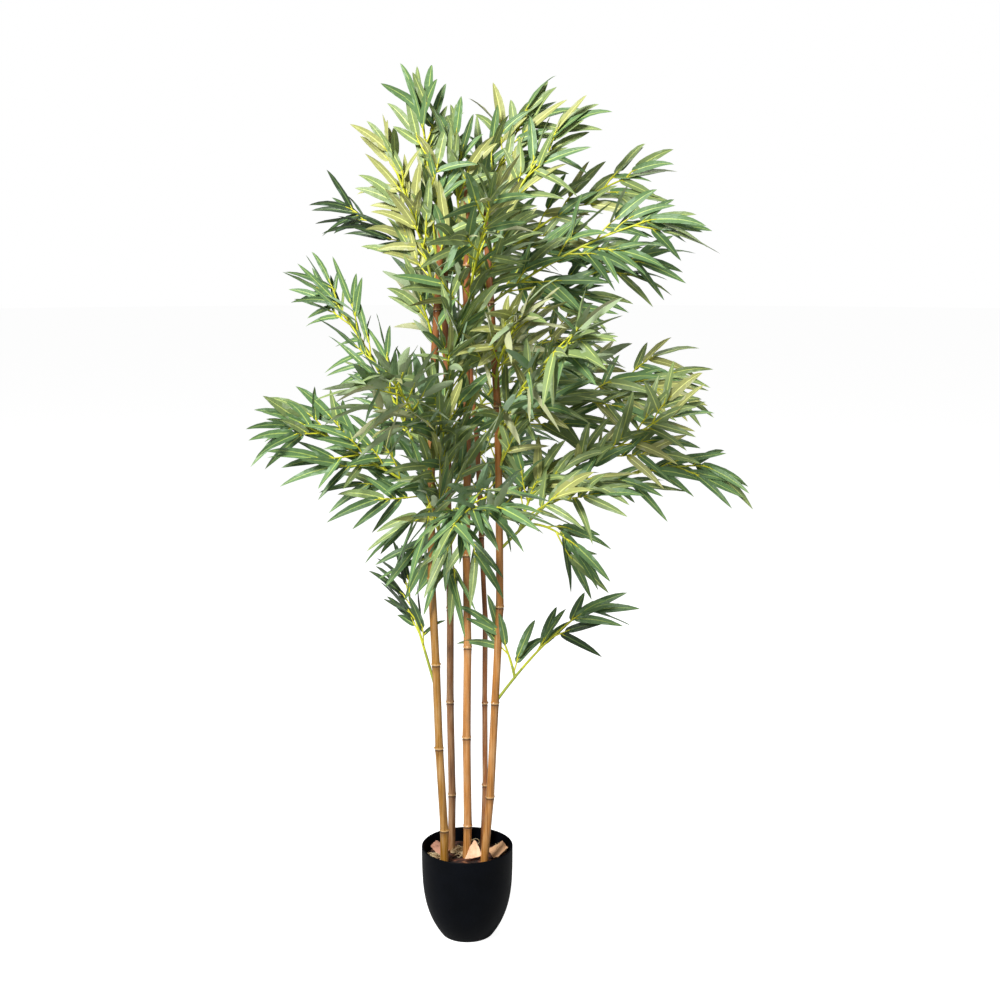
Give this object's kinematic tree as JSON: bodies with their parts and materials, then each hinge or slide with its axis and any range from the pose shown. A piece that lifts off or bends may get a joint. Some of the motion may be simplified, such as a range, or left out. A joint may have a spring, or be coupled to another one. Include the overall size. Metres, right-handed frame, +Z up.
{
  "type": "artificial bamboo plant in a pot",
  "caption": "Tall artificial bamboo: bare tan canes rising from a round matt black pot into an open crown of slender green fabric leaves on moulded plastic stems.",
  "frame": {"origin": "centre of the pot's flat underside", "axes": "+Z up along the plant's height; front towards -Y, with the longest sprays towards +X"},
  "size_m": [0.8011, 0.7272, 1.5],
  "materials": {
    "pot_plastic": "moulded polypropylene, matt black with a fine grain",
    "filling_mortar": "mortar plug stained dark brown, with wood-wool scraps on it",
    "card_scrap": "torn kraft card",
    "cane_gold": "bamboo cane, heat-browned, low sheen",
    "cane_copper": "bamboo cane, reddish brown, low sheen",
    "stem_plastic": "moulded polyethylene, yellow-green, satin",
    "leaf_fabric": "printed polyester leaf, grey-green with a yellow-green midrib"
  },
  "bodies": {
    "root": {"cane_1": "cane_gold", "cane_2": "cane_copper", "cane_3": "cane_gold", "cane_4": "cane_gold", "cane_5": "cane_copper", "card_left": "card_scrap", "card_middle": "card_scrap", "card_right": "card_scrap", "filling": "filling_mortar", "leaves_back_high": "leaf_fabric", "leaves_back_left": "leaf_fabric", "leaves_back_low": "leaf_fabric", "leaves_back_middle": "leaf_fabric", "leaves_back_right": "leaf_fabric", "leaves_front_high": "leaf_fabric", "leaves_front_left": "leaf_fabric", "leaves_front_low": "leaf_fabric", "leaves_front_middle": "leaf_fabric", "leaves_front_right": "leaf_fabric", "leaves_front_stem": "leaf_fabric", "leaves_inner_left": "leaf_fabric", "leaves_left_back": "leaf_fabric", "leaves_left_low": "leaf_fabric", "leaves_left_middle": "leaf_fabric", "leaves_low_fringe": "leaf_fabric", "leaves_low_inner": "leaf_fabric", "leaves_low_left": "leaf_fabric", "leaves_low_middle": "leaf_fabric", "leaves_low_right": "leaf_fabric", "leaves_middle_right": "leaf_fabric", "leaves_right_branch": "leaf_fabric", "leaves_right_drop": "leaf_fabric", "leaves_right_high": "leaf_fabric", "leaves_right_inner": "leaf_fabric", "leaves_right_low": "leaf_fabric", "leaves_right_middle": "leaf_fabric", "leaves_right_top": "leaf_fabric", "leaves_right_upper": "leaf_fabric", "leaves_top_far": "leaf_fabric", "leaves_top_left": "leaf_fabric", "leaves_top_middle": "leaf_fabric", "leaves_top_outer": "leaf_fabric", "leaves_top_right": "leaf_fabric", "pot": "pot_plastic", "stem_front_left": "stem_plastic", "stem_front_low": "stem_plastic", "stem_front_stem": "stem_plastic", "stem_left_back": "stem_plastic", "stem_left_low": "stem_plastic", "stem_left_middle": "stem_plastic", "stem_low_left": "stem_plastic", "stem_low_middle": "stem_plastic", "stem_low_right": "stem_plastic", "stem_right_branch": "stem_plastic", "stem_right_drop": "stem_plastic", "stem_right_high": "stem_plastic", "stem_right_low": "stem_plastic", "stem_right_middle": "stem_plastic", "stem_right_top": "stem_plastic", "stem_right_upper": "stem_plastic"}
  },
  "joints": []
}
